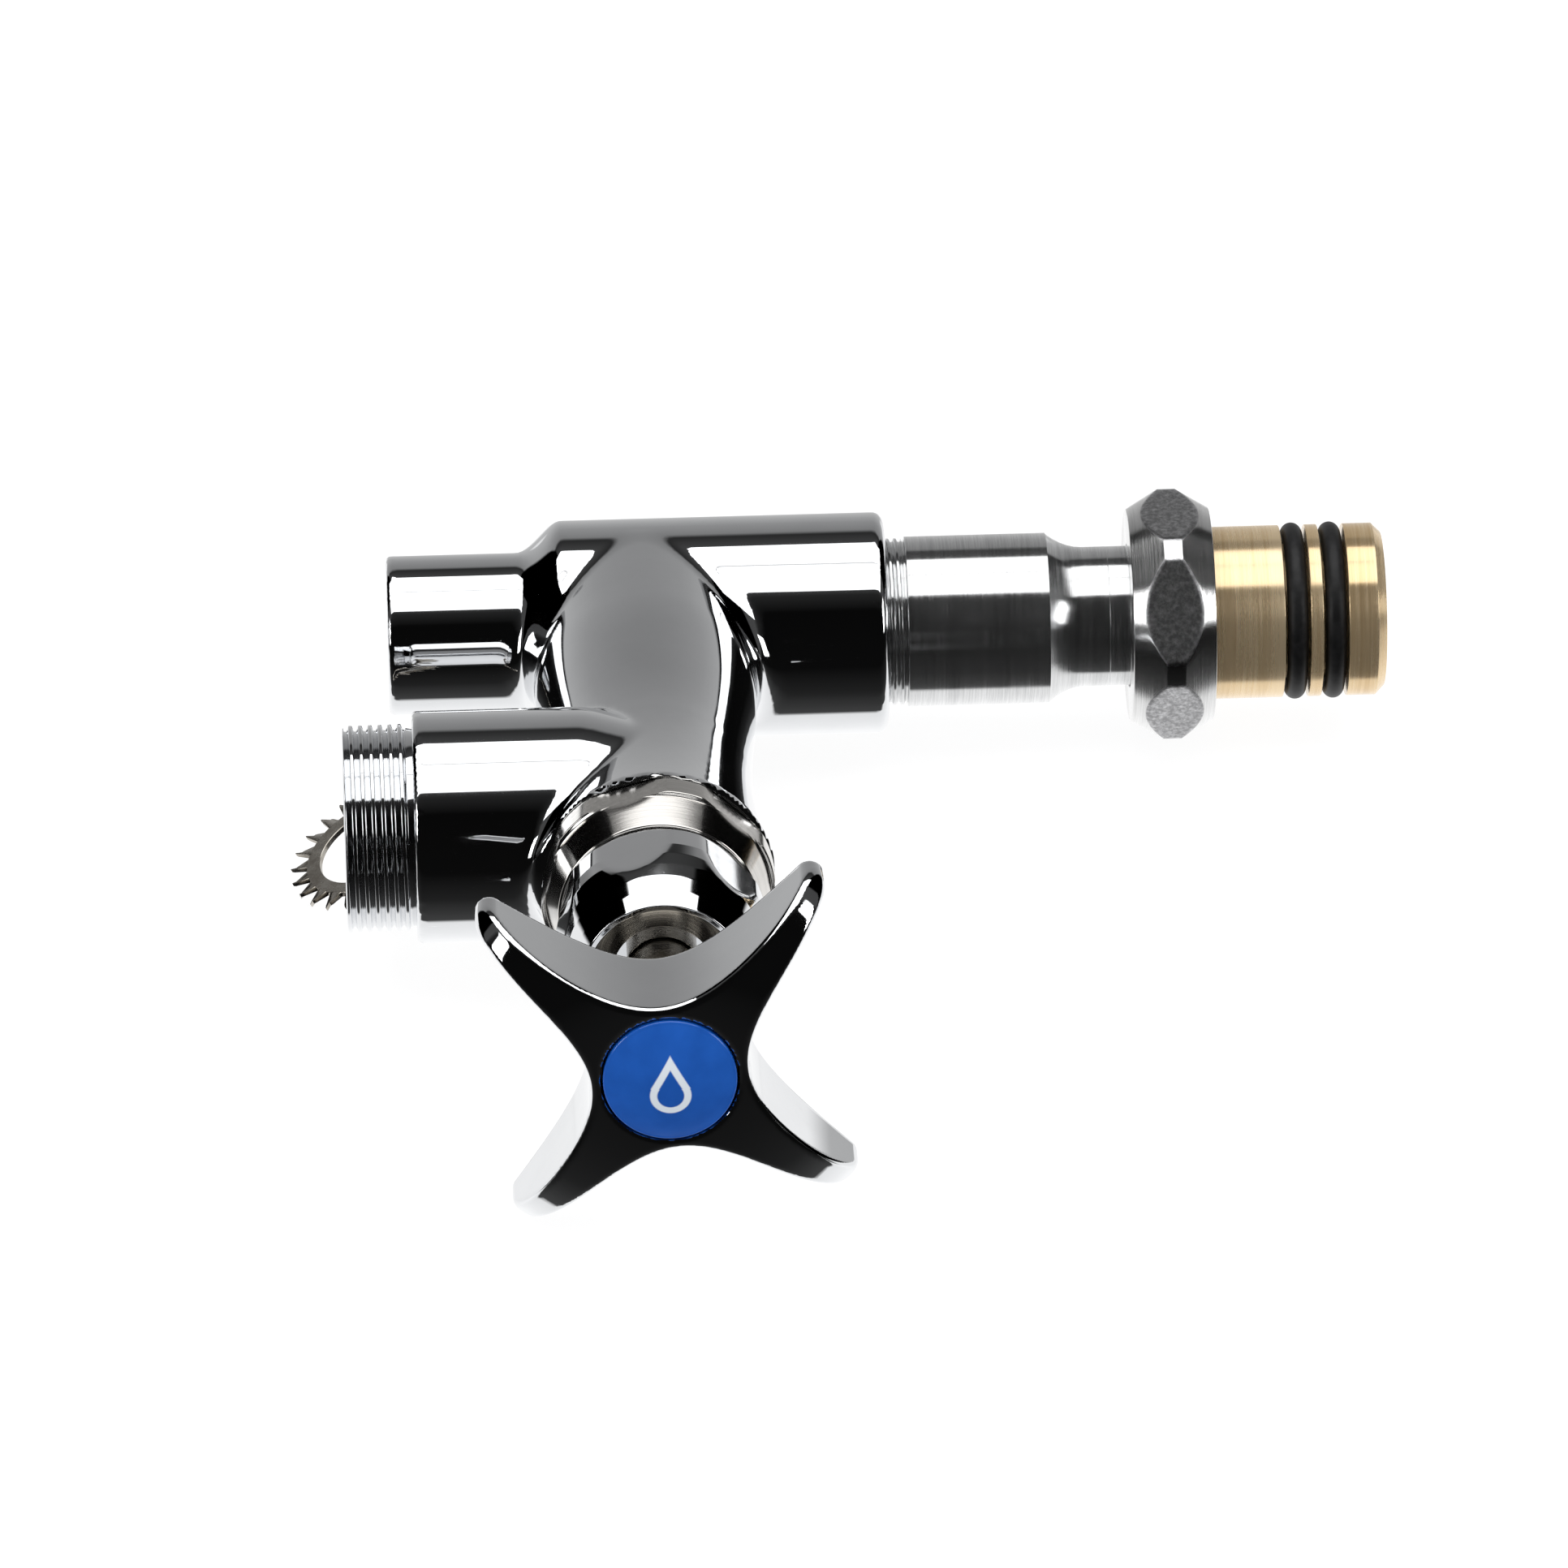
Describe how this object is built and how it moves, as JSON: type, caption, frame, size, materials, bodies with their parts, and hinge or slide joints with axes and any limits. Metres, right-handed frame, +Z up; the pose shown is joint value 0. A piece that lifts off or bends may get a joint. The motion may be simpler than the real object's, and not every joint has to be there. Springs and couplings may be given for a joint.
{
  "type": "hose bib",
  "caption": "Chromed add-on faucet valve with a riser port, a threaded outlet, a captive-nut swivel inlet with O-rings, and a compression stem turned by a cross handle.",
  "frame": {"origin": "middle of the bottom of the bounding box", "axes": "+X along the pipe axis towards the swivel sleeve, -Y along the stem towards the handle, +Z up"},
  "size_m": [0.147, 0.1424, 0.0478],
  "materials": {
    "chrome_plate": "polished chrome plate on cast brass, faint handling marks",
    "handle_chrome": "polished chrome plate, soft edges",
    "satin_nickel": "satin nickel plate on turned brass",
    "turned_steel": "bright turned steel with fine tool lines",
    "satin_steel": "turned steel with matt blasted flats",
    "brushed_brass": "fine turned brass",
    "bare_brass": "machined brass",
    "black_rubber": "matt black nitrile",
    "blue_plastic": "glossy moulded plastic with a pale water-drop mark",
    "fibre": "pressed red fibre",
    "ptfe": "white PTFE",
    "nickel_spring_steel": "nickel-plated spring steel"
  },
  "bodies": {
    "valve": {"valve_body": "chrome_plate", "valve_seat": "bare_brass", "bonnet_gasket": "fibre", "bonnet": "satin_nickel", "packing_ring": "ptfe", "packing_gland": "bare_brass", "packing_nut": "chrome_plate", "inlet_nipple": "turned_steel", "swivel_sleeve": "brushed_brass", "o_ring_inner": "black_rubber", "o_ring_outer": "black_rubber"},
    "washer_carrier": {"washer_holder": "bare_brass", "seat_washer": "black_rubber", "seat_washer_screw": "turned_steel"},
    "stem": {"spindle": "bare_brass", "handle": "handle_chrome", "handle_screw": "turned_steel", "index_button": "blue_plastic"},
    "slip_ring": {"slip_ring": "turned_steel"},
    "coupling_nut": {"coupling_nut": "satin_steel"},
    "star_washer": {"star_washer": "nickel_spring_steel"}
  },
  "joints": [
    {"name": "stem_lift", "type": "slide", "parent": "valve", "child": "washer_carrier", "axis": [0, -1, 0], "range_m": [0, 0.00333]},
    {"name": "stem_turn", "type": "hinge", "parent": "washer_carrier", "child": "stem", "pos_m": [-0.02584, -0.0163, 0.02389], "axis": [0, -1, 0], "range_deg": [0, 400]},
    {"name": "nut_slide", "type": "slide", "parent": "valve", "child": "slip_ring", "axis": [-1, 0, 0], "range_m": [0, 0.0055]},
    {"name": "nut_spin", "type": "hinge", "parent": "slip_ring", "child": "coupling_nut", "pos_m": [0.03936, 0.0544, 0.02389], "axis": [1, 0, 0], "continuous": true},
    {"name": "star_washer_slide", "type": "slide", "parent": "valve", "child": "star_washer", "axis": [-1, 0, 0], "range_m": [0, 0.06]}
  ],
  "couplings": [
    {"joint": "stem_turn", "follows": "stem_lift", "rad_per_m": 2094.4}
  ]
}
